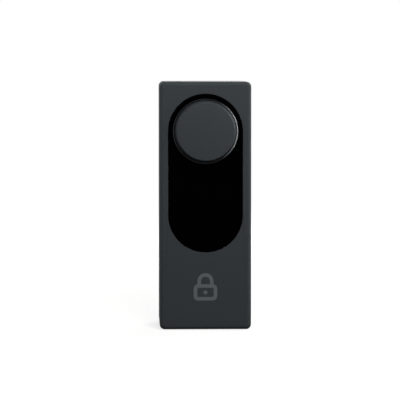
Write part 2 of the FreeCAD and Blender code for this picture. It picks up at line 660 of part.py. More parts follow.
def cylinder_outer_body():
    end = CAM_MID + CAM_HALF
    tools = [rod(PLUG_R + FIT, end, CYL_OUT), tongue(FIT, end, 43.0)]
    tools.append(rod_x(CROSS_PIN_R, -6, 6, CROSS_PIN_YS[1], CROSS_PIN_Z))
    tools += [rod_z(DRIVER_R + FIT, -15.0, -5.0, 0, y) for y in DRIVER_YS]
    return drill(euro(0, end, CYL_OUT), tools)


def driver_pins():
    """Driver pins under the key plug, each on its coil spring."""
    pins = [rod_z(DRIVER_R, -10.2, -PLUG_R - 0.15, 0, y) for y in DRIVER_YS]
    return group(pins + [coil_spring(0, y, -14.8, -10.4, 0.95, 0.35, 4) for y in DRIVER_YS])


def cylinder_bridge():
    """Steel bridge that joins the two halves under the cam, with the M5 fixing hole across it."""
    lo, hi = CAM_MID - CAM_HALF, CAM_MID + CAM_HALF
    middle = euro(0, lo, hi).common(block(-6, 6, lo, hi, -30, BRIDGE_TOP))
    tools = [rod_x(FIXING_R, -6, 6, CAM_MID, FIXING_Z)]
    tools += [rod_x(CROSS_PIN_R, -6, 6, y, CROSS_PIN_Z) for y in CROSS_PIN_YS]
    return drill(join([middle, tongue(0, 7.5, lo), tongue(0, hi, 42.5)]), tools)


def bridge_pins():
    return group([rod_x(CROSS_PIN_R, -4.8, 4.8, y, CROSS_PIN_Z) for y in CROSS_PIN_YS])


def cylinder_inner_rotor():
    end = CAM_MID - CAM_HALF + 0.1
    rotor = rod(PLUG_R, CYL_IN - 0.8, end)
    slot = block(-3.05, 3.05, CYL_IN - 0.8, -1.4, -1.3, 1.3)
    return drill(rotor, [slot, rod(SHAFT_R, end - 3.4, end)])


def cylinder_clips():
    """Clip on the inner rotor's indoor end."""
    return ring(PLUG_CLIP_R, PLUG_R, CYL_IN - 0.7, CYL_IN - 0.1).cut(block(-1.2, 1.2, -6, -5, 4, 9))


def cylinder_cam():
    """Cam with its nose hanging down at rest, and the short shaft that carries the rotor's turn into it."""
    lo, hi = CAM_MID - CAM_HALF + 0.2, CAM_MID + CAM_HALF - 0.2
    tip = 3.7
    nose = join([block(-tip, tip, lo, hi, -CAM_R + tip, 0), rod(tip, lo, hi, 0, -CAM_R + tip)])
    coupler = rod(SHAFT_R, CAM_MID - CAM_HALF - 3.2, CAM_MID + CAM_HALF + 1.2)
    return join([rod(8.2, lo, hi), nose, coupler])


def key_plug():
    """Keyed plug for the emergency key, reached with the keypad housing off."""
    start = CAM_MID + CAM_HALF + 0.1
    plug = rod(PLUG_R, start, CYL_OUT + 1.0)
    keyway = block(-1.3, 1.3, start + 5.0, CYL_OUT + 1.0, -4.6, 4.2)
    slit = block(-1.2, 1.2, CYL_OUT, CYL_OUT + 1, 4, 9)
    clip = ring(PLUG_CLIP_R + 0.1, PLUG_R, CYL_OUT + 0.1, CYL_OUT + 0.7).cut(slit)
    return join([drill(plug, [keyway, rod(SHAFT_R + 0.2, start, start + 2.0)]), clip])


# ---- outdoor unit ----------------------------------------------------------------------------------------
PAD_BACK = DOOR + 1.6
PAD_FACE = DOOR + PAD_DEPTH
BASE_FRONT = DOOR + 4.0
LOCK_Y = PAD_FACE - 6.5
PAD_LOW = -PAD_DROP - PAD_R
LENS_BACK = PAD_FACE - 1.6
CARRIER_TOP = 79.6
CARRIER_SCREWS = [(-16.6, 8.0), (16.6, 8.0), (0.0, -37.0)]
PAD_CELL = (70.2, -24.0)
GRIP_Y, GRIP_R = 57.0, 2.0       # grub screws that grip the cylinder
LOCK_SCREW_R = 1.5
SCREW_ROOM = 10.5                # the boards' notch over the locking screw's post


def keypad_gasket():
    """Rubber seal between the keypad unit and the door."""
    seal = stadium(PAD_R - 0.5, PAD_DROP, DOOR, DOOR + 1.5)
    return seal.cut(stadium(PAD_R - 5.0, PAD_DROP, DOOR, DOOR + 1.5))


def keypad_base():
    """Base with a collar that clamps the cylinder's end and a post for the housing's screw."""
    plate = stadium(PAD_R - PAD_WALL - 0.2, PAD_DROP, DOOR + 1.5, BASE_FRONT)
    collar = rounded(-13.0, 13.0, BASE_FRONT, CYL_OUT - 0.5, -26.5, 12.5, 2.0)
    post = block(-4.0, 4.0, BASE_FRONT, LOCK_Y + 3.5, PAD_LOW + 3.8, PAD_LOW + 9.5)
    tools = [euro(0.15, DOOR, CYL_OUT)]
    tools += [rod_x(GRIP_R, s * 8.0, s * 14.0, GRIP_Y, 0) for s in (-1, 1)]
    tools += [rod_z(LOCK_SCREW_R, PAD_LOW + 3.8, PAD_LOW + 9.5, 0, LOCK_Y)]
    tools += [rod(1.25, DOOR + 2.2, BASE_FRONT, x, z) for x, z in CARRIER_SCREWS]
    return drill(join([plate, collar, post]), tools)


def keypad_carrier():
    """Inner frame on the base: a stadium wall, the cell's end cheeks and a ledge for the control board."""
    outer = PAD_R - PAD_WALL - 0.3
    limit = stadium(outer, PAD_DROP, BASE_FRONT, CARRIER_TOP)
    wall = limit.cut(stadium(outer - 1.3, PAD_DROP, BASE_FRONT, CARRIER_TOP))
    cheeks = [block(s * 18.2, s * 21.8, BASE_FRONT, 77.0, -32.0, -16.0) for s in (-1, 1)]
    seat = BASE_FRONT + 2.0
    feet = [rod(3.0, BASE_FRONT, seat, x, z) for x, z in CARRIER_SCREWS]
    straps = [block(s * 14.5, s * 22.0, BASE_FRONT, seat, 6.5, 9.5) for s in (-1, 1)]
    straps.append(block(-20.0, 20.0, BASE_FRONT, seat, -38.5, -35.5))
    tools = [rod(1.35, BASE_FRONT, seat, x, z) for x, z in CARRIER_SCREWS]
    tools.append(block(-5.0, 5.0, BASE_FRONT, CARRIER_TOP, PAD_LOW, PAD_LOW + 9.8))
    tools.append(block(-13.3, 13.3, BASE_FRONT, CYL_OUT, -26.8, 12.8))
    return drill(join([wall] + cheeks + feet + straps).common(limit), tools)


def keypad_screws():
    """Grub screws that grip the cylinder, and the carrier's screws with their heads facing outdoors."""
    seat = BASE_FRONT + 2.0
    made = []
    for s in (-1, 1):
        pin = rod_x(GRIP_R, s * PROFILE_R, s * 13.0, GRIP_Y, 0)
        made.append(pin.cut(rod_x(0.9, s * 11.0, s * 13.0, GRIP_Y, 0)))
    for x, z in CARRIER_SCREWS:
        head = rod(2.2, seat, seat + 1.4, x, z)
        slot = block(x - 1.6, x + 1.6, seat + 0.8, seat + 1.4, z - 0.3, z + 0.3)
        made.append(join([head, rod(1.25, DOOR + 2.4, seat, x, z)]).cut(slot))
    return group(made)


def keypad_cell():
    y, z = PAD_CELL
    half = CELL_LONG / 2
    return join([rod_x(CELL_R, -half, half - NUB_HIGH, y, z), rod_x(NUB_R, half - NUB_HIGH, half, y, z)])


def keypad_cell_contacts():
    y, z = PAD_CELL
    return group([block(s * 17.7, s * 18.2, y - 6.0, y + 6.0, z - 5.0, z + 5.0) for s in (-1, 1)])


def keypad_control_board():
    """Control board with its radio module."""
    top = CARRIER_TOP + 1.0
    board = stadium(PAD_R - PAD_WALL - 0.6, PAD_DROP, CARRIER_TOP, top)
    board = board.cut(block(-5.0, 5.0, CARRIER_TOP, top, PAD_LOW, PAD_LOW + SCREW_ROOM))
    return join([board, rounded(-7.0, 7.0, top, top + 1.2, -8.0, 4.0, 0.8)])


def touch_board():
    """Capacitive touch board, right behind the light guide."""
    board = stadium(PAD_R - PAD_WALL - 0.4, PAD_DROP, LENS_BACK - 2.0, LENS_BACK - 1.0)
    return board.cut(block(-5.0, 5.0, LENS_BACK - 2.0, LENS_BACK - 1.0, PAD_LOW, PAD_LOW + SCREW_ROOM))


def light_guide():
    return stadium(PAD_R - PAD_WALL - 0.4, PAD_DROP, LENS_BACK - 1.0, LENS_BACK)


def keypad_face():
    """Flush touch face, let into the housing's front."""
    return stadium(PAD_R - PAD_CHAMFER - 0.3, PAD_DROP, LENS_BACK, PAD_FACE)


def keypad_housing():
    """Deep stadium shell with a chamfered front rim and the locking screw's hole at its lower end."""
    body = stadium(PAD_R, PAD_DROP, PAD_BACK, PAD_FACE)
    rim = [
        e for e in body.Edges
        if abs(e.BoundBox.YMin - PAD_FACE) < 1e-3 and abs(e.BoundBox.YMax - PAD_FACE) < 1e-3
    ]
    body = body.makeChamfer(PAD_CHAMFER, rim)
    chamfer_foot = PAD_FACE - PAD_CHAMFER
    body = body.makeFillet(PAD_SOFT, [e for e in body.Edges if e.BoundBox.YMax < chamfer_foot + 0.01])
    hollow = stadium(PAD_R - PAD_WALL, PAD_DROP, PAD_BACK, LENS_BACK)
    seat = stadium(PAD_R - PAD_CHAMFER - 0.25, PAD_DROP, LENS_BACK, PAD_FACE)
    body = drill(body, [hollow, seat])
    pad = block(-4.6, 4.6, LOCK_Y - 5.0, LENS_BACK - 2.2, PAD_LOW + 1.0, PAD_LOW + 3.5)
    hole = [
        rod_z(3.0, PAD_LOW, PAD_LOW + 2.2, 0, LOCK_Y),
        rod_z(1.65, PAD_LOW, PAD_LOW + 3.5, 0, LOCK_Y),
    ]
    return drill(join([body, pad]), hole)


def housing_lock_screw():
    """Socket screw that locks the housing to the base from below."""
    head = rod_z(2.75, PAD_LOW + 0.7, PAD_LOW + 2.2, 0, LOCK_Y)
    turns = [math.radians(60 * k) for k in range(6)]
    hexagon = [Vector(1.35 * math.cos(a), LOCK_Y + 1.35 * math.sin(a), PAD_LOW + 0.7) for a in turns]
    socket = Part.Face(Part.makePolygon(hexagon + hexagon[:1])).extrude(Vector(0, 0, 1.0))
    return join([head, rod_z(LOCK_SCREW_R, PAD_LOW + 2.2, PAD_LOW + 9.0, 0, LOCK_Y)]).cut(socket)


# ---- nodes ------------------------------------------------------------------------------------------------
NODES = (
    front_shell, shell_magnets, fascia_panel, lock_mark,
    knob_body, knob_cap, knob_trim_ring, shaft_fasteners, drive_shaft, position_magnet,
    bearing_inner, bearing_outer, bearing_balls,
    main_gear, second_gear, first_gear, motor_pinion, motor_shaft, gear_axles, motor_can, motor_end_cap,
    plate_gasket, mounting_plate, cylinder_clamp_screws,
    chassis, chassis_magnets, chassis_screws, gearbox_cover, gearbox_screws, sensor_board,
    main_board, board_components, radio_module, setup_switch, setup_button,
    battery_tray, battery_cells_front, battery_cells_rear, battery_contacts,
    cylinder_inner_body, cylinder_outer_body, cylinder_bridge, bridge_pins, driver_pins,
    cylinder_inner_rotor, cylinder_clips, cylinder_cam, key_plug,
    keypad_gasket, keypad_base, keypad_carrier, keypad_screws, keypad_cell, keypad_cell_contacts,
    keypad_control_board, touch_board, light_guide, keypad_face, keypad_housing, housing_lock_screw,
)


def main():
    os.makedirs("parts", exist_ok=True)
    for build in NODES:
        shape = build()
        shape.exportStep(f"parts/{build.__name__}.step")
        print(f"{build.__name__}: {len(shape.Solids)} solids, {shape.Volume / 1000:.2f} cm3")


main()
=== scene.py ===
import json
import math

import bmesh
import bpy
from mathutils import Matrix, Vector


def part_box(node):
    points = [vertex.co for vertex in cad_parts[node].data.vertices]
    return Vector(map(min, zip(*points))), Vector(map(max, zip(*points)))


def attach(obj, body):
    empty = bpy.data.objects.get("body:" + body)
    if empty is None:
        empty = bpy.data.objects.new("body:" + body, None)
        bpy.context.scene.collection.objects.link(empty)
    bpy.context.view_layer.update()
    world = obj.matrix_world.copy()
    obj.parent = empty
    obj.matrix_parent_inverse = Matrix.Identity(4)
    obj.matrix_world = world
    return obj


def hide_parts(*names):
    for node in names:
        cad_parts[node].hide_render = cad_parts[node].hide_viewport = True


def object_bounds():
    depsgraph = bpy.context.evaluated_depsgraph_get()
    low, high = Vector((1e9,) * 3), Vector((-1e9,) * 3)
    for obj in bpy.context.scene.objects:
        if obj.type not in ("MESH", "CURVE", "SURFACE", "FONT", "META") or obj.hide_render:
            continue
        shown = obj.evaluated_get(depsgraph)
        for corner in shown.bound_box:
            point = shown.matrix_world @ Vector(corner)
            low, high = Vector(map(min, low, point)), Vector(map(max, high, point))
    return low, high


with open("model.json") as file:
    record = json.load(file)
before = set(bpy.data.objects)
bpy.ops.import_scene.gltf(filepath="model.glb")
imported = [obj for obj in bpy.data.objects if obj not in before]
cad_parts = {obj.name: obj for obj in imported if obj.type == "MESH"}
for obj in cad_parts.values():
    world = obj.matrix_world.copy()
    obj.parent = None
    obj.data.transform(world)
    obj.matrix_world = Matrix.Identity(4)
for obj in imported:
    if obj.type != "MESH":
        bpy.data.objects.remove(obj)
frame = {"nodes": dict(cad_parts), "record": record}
cad_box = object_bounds()

# A keypad smart lock, in metres: +Z up, +Y along the cylinder to the outside, the indoor front facing -Y.
MM = 0.001

SOFT_EDGE = 0.22 * MM            # radius of a moulded or machined edge that looks sharp
NEAR = 0.01 * MM                 # points this close lie in one place
THIN = 0.02 * MM                 # thickness of a printed layer

SHELL_WALL = 2.1 * MM
WALL_CORNER = math.radians(50)   # the shell's wall is eased where it turns by more than this
CORNER_ROUND = 3.0 * MM          # the shell's four long corners
FRONT_ROUND = 2.2 * MM           # round its front face
FLAT_BORDER = 0.3 * MM           # flat ring inside the rounded edge, so that the front shades flat

RIB_DEEP = 2.8 * MM
RIB_SUNK = 0.8 * MM              # how much of a rib's depth lies in the wall
RIB_THICK = 1.2 * MM
RIB_REACH = 0.74                 # half length of a rib, out of the shell's half width
RIB_LEVELS = (0.76, 0.92)        # how far down the shell the ribs lie, out of its height
RIB_EDGE = 0.15 * MM

FLANGE = 1.4 * MM                # how far the fascia's flange reaches behind the shell's wall
FLANGE_THICK = 1.0 * MM
FIELD_GAP = 0.06 * MM            # between the fascia's raised field and the shell's window
FIELD_SHORT = 0.1 * MM           # the field's back lies this far in front of the flange's back
FIELD_EDGE = 0.3 * MM
HOLE_EDGE = 0.08 * MM
KNOB_GAP = 0.6 * MM              # between the trim ring and the fascia's hole

KNOB_TAPER = 1.15 * MM           # the knob's side leans in by this much from foot to front
KNOB_EDGE = 0.35 * MM
KNOB_CORNER = 0.2 * MM
CAP_WALL = 2.0 * MM
TRIM_SHOULDER = 1.0 * MM
TRIM_BACK_EDGE = 0.3 * MM

CHIP_EDGE = 0.08 * MM

NUMERAL_HIGH = 6.5 * MM
NUMERAL_RING = 5.6 * MM
NUMERAL_LINE = 0.35 * MM         # width of the ring's line


# ---- materials: the node helper ----------------------------------------------------------------------
def tint(code):
    """Linear colour from an sRGB hex code."""
    parts = [int(code[i:i + 2], 16) / 255 for i in (0, 2, 4)]
    return [c / 12.92 if c <= 0.04045 else ((c + 0.055) / 1.055) ** 2.4 for c in parts] + [1.0]


def per(mm):
    """Texture scale at which one cell of a pattern is this many millimetres."""
    return 1.0 / (mm * MM)


def add(tree, kind, sockets=None, **settings):
    """Adds a node. Settings are its properties; a socket is given a value or another node's output."""
    node = tree.nodes.new("ShaderNode" + kind)
    for name, value in settings.items():
        setattr(node, name, value)
    for name, value in (sockets or {}).items():
        if isinstance(value, bpy.types.NodeSocket):
            tree.links.new(value, node.inputs[name])
        else:
            node.inputs[name].default_value = value
    return node


def begin(name, **settings):
    """A material with its shader, whose own sockets are set here; gives the tree, shader and coordinates."""
    material = bpy.data.materials.new(name)
    material.use_nodes = True
    tree = material.node_tree
    tree.nodes.clear()
    sockets = {key.replace("_", " ").title().replace("Ior", "IOR"): value for key, value in settings.items()}
    shader = add(tree, "BsdfPrincipled", sockets)
    add(tree, "OutputMaterial", {"Surface": shader.outputs[0]})
    place = add(tree, "TexCoord").outputs["Object"]
    return material, tree, shader, place


def vary(tree, shader, socket, driver, low, high):
    """Drives a shader socket between two numbers with a 0 to 1 pattern."""
    spread = add(tree, "MapRange", {"Value": driver, "To Min": low, "To Max": high})
    tree.links.new(spread.outputs[0], shader.inputs[socket])


def shade(tree, shader, driver, colour_a, colour_b):
    """Drives the base colour between two colours with a 0 to 1 pattern."""
    blend = add(tree, "Mix", {"Factor": driver}, data_type="RGBA")
    sockets = [s for s in blend.inputs if s.type == "RGBA"]
    sockets[0].default_value = colour_a
    sockets[1].default_value = colour_b
    tree.links.new([s for s in blend.outputs if s.type == "RGBA"][0], shader.inputs["Base Color"])


def emboss(tree, shader, height, depth_mm, strength=1.0):
    """Bump whose full height is a real depth."""
    bump = add(tree, "Bump", {"Height": height, "Distance": depth_mm * MM, "Strength": strength})
    tree.links.new(bump.outputs[0], shader.inputs["Normal"])


# ---- materials: families -----------------------------------------------------------------------------
def matt_coating(name, colour, roughness):
    """Soft-touch lacquer over a moulding: an even matt slate with a sand-fine grain and no glare."""
    # The real grain is finer than 0.1 mm; it is drawn coarser, so that it shows.
    light = [c * 1.06 for c in tint(colour)[:3]] + [1.0]
    material, tree, shader, place = begin(name, roughness=roughness, ior=1.46)
    grain = add(tree, "TexNoise", {"Vector": place, "Scale": per(0.35), "Detail": 3.0})
    drift = add(tree, "TexNoise", {"Vector": place, "Scale": per(30.0), "Detail": 1.0})
    shade(tree, shader, drift.outputs[0], tint(colour), light)
    vary(tree, shader, "Roughness", grain.outputs[0], roughness - 0.05, roughness + 0.07)
    emboss(tree, shader, grain.outputs[0], 0.012)
    return material


def moulded(name, colour, roughness, grain_mm=0.5, depth_mm=0.015):
    """Injection-moulded plastic with a spark-eroded texture: low sheen, slightly uneven."""
    # A real spark-eroded pit is about 0.1 mm wide; it is drawn coarser, so that it shows.
    light = [c * 1.25 for c in tint(colour)[:3]] + [1.0]
    material, tree, shader, place = begin(name, roughness=roughness, ior=1.5)
    pits = add(tree, "TexNoise", {"Vector": place, "Scale": per(grain_mm), "Detail": 2.0})
    flow = add(tree, "TexNoise", {"Vector": place, "Scale": per(14.0), "Detail": 2.0})
    shade(tree, shader, flow.outputs[0], tint(colour), light)
    vary(tree, shader, "Roughness", pits.outputs[0], roughness - 0.06, roughness + 0.06)
    emboss(tree, shader, pits.outputs[0], depth_mm)
    return material


def piano_black(name, colour, roughness, specular):
    """Polished black lacquer: deep and mirror-like, with the faintest ripple and a trace of handling."""
    material, tree, shader, place = begin(name, base_color=tint(colour), roughness=roughness, ior=1.5)
    shader.inputs["Specular IOR Level"].default_value = specular
    handling = add(tree, "TexNoise", {"Vector": place, "Scale": per(9.0), "Detail": 4.0})
    ripple = add(tree, "TexNoise", {"Vector": place, "Scale": per(5.0), "Detail": 0.0})
    vary(tree, shader, "Roughness", handling.outputs[0], roughness * 0.7, roughness * 1.5)
    emboss(tree, shader, ripple.outputs[0], 0.002)
    return material


def polished(name, colour, roughness):
    """Plated and polished metal: sharp reflections, softened by hairline wear."""
    material, tree, shader, place = begin(name, base_color=tint(colour), metallic=1.0, roughness=roughness)
    wear = add(tree, "TexNoise", {"Vector": place, "Scale": per(3.0), "Detail": 5.0})
    vary(tree, shader, "Roughness", wear.outputs[0], roughness * 0.7, roughness * 1.5)
    return material


def grained_metal(name, colour, roughness, stretch, grain_mm=0.25):
    """Ground, drawn or brushed metal: fine lines along the way it was worked."""
    # Real lines lie a few hundredths of a millimetre apart; they are drawn coarser, so that they show.
    dark = [c * 0.8 for c in tint(colour)[:3]] + [1.0]
    material, tree, shader, place = begin(name, metallic=1.0, roughness=roughness)
    lines = add(tree, "Mapping", {"Vector": place, "Scale": stretch})
    grain = add(tree, "TexNoise", {"Vector": lines.outputs[0], "Scale": per(grain_mm), "Detail": 3.0})
    stain = add(tree, "TexNoise", {"Vector": place, "Scale": per(6.0), "Detail": 3.0})
    shade(tree, shader, stain.outputs[0], tint(colour), dark)
    vary(tree, shader, "Roughness", grain.outputs[0], roughness - 0.08, roughness + 0.12)
    emboss(tree, shader, grain.outputs[0], 0.006)
    return material


def turned_metal(name, colour, roughness, feed_mm=0.4):
    """Metal turned on a lathe about the cylinder's axis: fine rings on its ends and sides."""
    # A real finishing cut feeds about 0.1 mm a turn; it is drawn coarser, so that it shows.
    material, tree, shader, place = begin(name, base_color=tint(colour), metallic=1.0, roughness=roughness)
    rings = add(tree, "TexWave", {"Vector": place, "Scale": per(feed_mm) / 20, "Distortion": 0.6},
                wave_type="RINGS", rings_direction="Y")
    tone = add(tree, "TexNoise", {"Vector": place, "Scale": per(4.0), "Detail": 3.0})
    vary(tree, shader, "Roughness", tone.outputs[0], roughness - 0.06, roughness + 0.1)
    emboss(tree, shader, rings.outputs[1], 0.004, 0.5)
    return material


def rubbery(name, colour, roughness, cell_mm, depth_mm):
    """Rubber or closed-cell foam: dull black with small open cells at the surface."""
    # The cells are drawn a little larger than real ones, so that they show.
    light = [c * 1.5 for c in tint(colour)[:3]] + [1.0]
    material, tree, shader, place = begin(name, roughness=roughness, ior=1.52)
    cells = add(tree, "TexVoronoi", {"Vector": place, "Scale": per(cell_mm)})
    # The colour follows the cells' relief, darker in their pits and paler on their rims, which is painted
    # shade.
    shade(tree, shader, cells.outputs["Distance"], tint(colour), light)
    emboss(tree, shader, cells.outputs["Distance"], depth_mm)
    return material


def circuit_board():
    """Glass-fibre board under green solder mask: copper tracks show through as paler lines."""
    material, tree, shader, place = begin("solder_mask_green", roughness=0.35, ior=1.55)
    upright = add(tree, "Mapping", {"Vector": place, "Rotation": (math.pi / 2, 0, 0)})
    tracks = add(tree, "TexBrick", {
        "Vector": upright.outputs[0], "Scale": per(12.0), "Mortar Size": 0.02, "Brick Width": 0.42,
        "Row Height": 0.13, "Color1": tint("0E3A22"), "Color2": tint("12452A"), "Mortar": tint("2C7A4C"),
    })
    tree.links.new(tracks.outputs["Color"], shader.inputs["Base Color"])
    weave = add(tree, "TexNoise", {"Vector": place, "Scale": per(0.6), "Detail": 1.0})
    vary(tree, shader, "Roughness", weave.outputs[0], 0.28, 0.45)
    emboss(tree, shader, tracks.outputs["Fac"], 0.03, 0.6)
    return material


def shrink_sleeve():
    """Printed heat-shrink sleeve on a lithium cell: glossy blue with fine wrinkles."""
    material, tree, shader, place = begin("sleeve_blue", roughness=0.3, ior=1.5)
    wrinkle = add(tree, "TexNoise", {"Vector": place, "Scale": per(2.5), "Detail": 3.0})
    # The blue is darker in the wrinkles' hollows and paler on their crests, which is painted shade.
    shade(tree, shader, wrinkle.outputs[0], tint("1E3A6B"), tint("294A80"))
    vary(tree, shader, "Roughness", wrinkle.outputs[0], 0.22, 0.38)
    emboss(tree, shader, wrinkle.outputs[0], 0.03, 0.6)
    return material


def frosted_guide():
    """Frosted acrylic light guide: milky and half clear."""
    milky = tint("DDE3E6")
    material, tree, shader, place = begin("frosted_acrylic", base_color=milky, roughness=0.45, ior=1.49)
    shader.inputs["Transmission Weight"].default_value = 0.6
    frost = add(tree, "TexNoise", {"Vector": place, "Scale": per(0.4), "Detail": 2.0})
    vary(tree, shader, "Roughness", frost.outputs[0], 0.38, 0.55)
    return material


ALONG_Y = (1.0, 0.04, 1.0)
ALONG_X = (0.04, 1.0, 1.0)
ALONG_Z = (1.0, 1.0, 0.04)

FINISH = {
    "slate_shell": matt_coating("soft_touch_slate", "363B3E", 0.55),
    "slate_knob": matt_coating("satin_lacquer_slate", "363B3E", 0.5),
    "knob_trim": polished("dark_chrome", "979A9E", 0.1),
    "fascia_gloss": piano_black("acrylic_black", "010102", 0.05, 0.22),
    "mark_grey": matt_coating("printed_grey", "5E6467", 0.5),
    "nickel_magnet": polished("nickel_plate", "C8C4BA", 0.2),
    "magnet_black": moulded("bonded_ferrite", "26262A", 0.6),
    "shaft_steel": grained_metal("ground_steel", "B9BBBD", 0.28, ALONG_Y),
    "bearing_steel": polished("bearing_steel", "C6C8CA", 0.12),
    "screw_steel": polished("zinc_plate", "A8ABB0", 0.3),
    "gear_polymer": moulded("acetal_natural", "DAD6C8", 0.42, 0.8, 0.01),
    "pinion_brass": turned_metal("free_cutting_brass", "C9A45B", 0.26),
    "motor_steel": grained_metal("drawn_steel_can", "A9ABAE", 0.32, ALONG_Y),
    "motor_end_plastic": moulded("nylon_black", "1B1B1E", 0.5),
    "foam_black": rubbery("closed_cell_foam", "161617", 0.9, 0.6, 0.12),
    "seal_rubber": rubbery("moulded_rubber", "131314", 0.7, 0.9, 0.03),
    "plate_aluminium": grained_metal("bead_blasted_aluminium", "AEB1B4", 0.5, (1, 1, 1), 0.3),
    "frame_plastic": moulded("glass_filled_nylon", "222427", 0.55),
    "board_green": circuit_board(),
    "component_black": moulded("epoxy_black", "17181A", 0.45, 0.2, 0.01),
    "shield_tin": grained_metal("tinned_steel", "C3C5C6", 0.34, ALONG_X),
    "button_black": moulded("switch_plunger", "2A2A2C", 0.4),
    "cell_wrap": shrink_sleeve(),
    "contact_nickel": grained_metal("nickel_strip", "C4BFB2", 0.26, ALONG_Z),
    "cylinder_nickel": grained_metal("satin_nickel", "B4AFA3", 0.34, ALONG_Y),
    "rotor_brass": turned_metal("turned_brass", "C2A25E", 0.28),
    "cam_steel": grained_metal("sintered_steel", "8C8D8F", 0.42, (1, 1, 1), 0.4),
    "guide_clear": frosted_guide(),
    "pad_face_black": matt_coating("satin_black", "15171A", 0.36),
    "pad_gloss_black": piano_black("polished_black", "0B0C0E", 0.06, 0.5),
    "lock_screw_steel": turned_metal("stainless_steel", "B4B6B8", 0.25),
    "numeral_ink": matt_coating("dead_front_ink", "222529", 0.42),
}

for part in frame["record"]["subparts"]:
    for holder in frame["nodes"][part["node"]].material_slots:
        holder.material = FINISH[part["material_slot"]]


# ---- mesh helpers -------------------------------------------------------------------------------------
def finish_piece(name, bm, body, slot, replaces=(), crease=35):
    """Turns a bmesh into a piece on a body, smooth except where it turns sharply."""
    mesh = bpy.data.meshes.new(name)
    bmesh.ops.recalc_face_normals(bm, faces=bm.faces)
    bm.to_mesh(mesh)
    bm.free()
    mesh.shade_smooth()
    mesh.set_sharp_from_angle(angle=math.radians(crease))
    obj = bpy.data.objects.new(name, mesh)
    bpy.context.scene.collection.objects.link(obj)
    mesh.materials.append(FINISH[slot])
    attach(obj, body)
    if replaces:
        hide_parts(*replaces)
    return obj


def box_matrix(low, high):
    """Places a unit cube between two corners."""
    return Matrix.Translation((low + high) / 2) @ Matrix.Diagonal((*(high - low), 1))


def facing_y(y, x=0.0, z=0.0):
    """Turns a shape drawn in the XY plane to face along Y at a given depth."""
    return Matrix.Translation((x, y, z)) @ Matrix.Rotation(math.pi / 2, 4, "X")


def stadium(node):
    """Corners of a stadium-shaped node's box, its end radius and how far its lower half is let down."""
    low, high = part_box(node)
    radius = (high.x - low.x) / 2
    return low, high, radius, (high.z - low.z) - 2 * radius


def edges_of(verts):
    """The edges that meet at some points, each once and in a fixed order."""
    return list(dict.fromkeys(e for v in verts for e in v.link_edges))


def stadium_loop(bm, radius, drop, y, steps=128):
    """Upright stadium outline: a circle whose lower half is let down."""
    half_step = Matrix.Rotation(math.pi / steps, 4, "Z")
    loop = bmesh.ops.create_circle(bm, radius=radius, segments=steps, matrix=facing_y(y) @ half_step)["verts"]
    lower = [v for v in loop if v.co.z < 0]
    bmesh.ops.translate(bm, verts=lower, vec=(0, 0, -drop))
    return edges_of(loop)


def plate(bm, radius, drop, y0, y1, hole=None, steps=128):
    """Stadium plate from y0 forwards to y1, bored on the axis if a hole is given; gives its front edges."""
    edges = stadium_loop(bm, radius, drop, y1, steps)
    if hole:
        ring = bmesh.ops.create_circle(bm, radius=hole, segments=steps, matrix=facing_y(y1))["verts"]
        edges = edges + edges_of(ring)
    forwards = (0, math.copysign(1, y1 - y0), 0)
    made = bmesh.ops.triangle_fill(bm, use_beauty=True, edges=edges, normal=forwards)
    faces = [f for f in made["geom"] if isinstance(f, bmesh.types.BMFace)]
    back = bmesh.ops.extrude_face_region(bm, geom=faces, use_keep_orig=True)["geom"]
    verts = [v for v in back if isinstance(v, bmesh.types.BMVert)]
    bmesh.ops.translate(bm, verts=verts, vec=(0, y0 - y1, 0))
    return edges


def soften(bm, edges, width=SOFT_EDGE, segments=3):
    """Rounds edges with a small radius."""
    bmesh.ops.bevel(
        bm, geom=[e for e in edges if e.is_valid], offset=width, offset_type="OFFSET", affect="EDGES",
        segments=segments, profile=0.5, material=-1, clamp_overlap=True,
    )


def turned(bm, profile, steps=144):
    """Spins a profile of (radius, y) points about the cylinder's axis."""
    verts = [bm.verts.new((radius, y, 0)) for radius, y in profile]
    edges = [bm.edges.new(pair) for pair in zip(verts, verts[1:])]
    bmesh.ops.spin(
        bm, geom=verts + edges, cent=(0, 0, 0), axis=(0, 1, 0), angle=2 * math.pi, steps=steps,
        use_merge=True, use_normal_flip=False, use_duplicate=False, dvec=(0, 0, 0),
    )
    bmesh.ops.remove_doubles(bm, verts=bm.verts, dist=0.001 * MM)


def sharp_edges(bm, degrees=25):
    """The edges at which the surface turns by more than this."""
    return [e for e in bm.edges if len(e.link_faces) == 2 and e.calc_face_angle(0) > math.radians(degrees)]


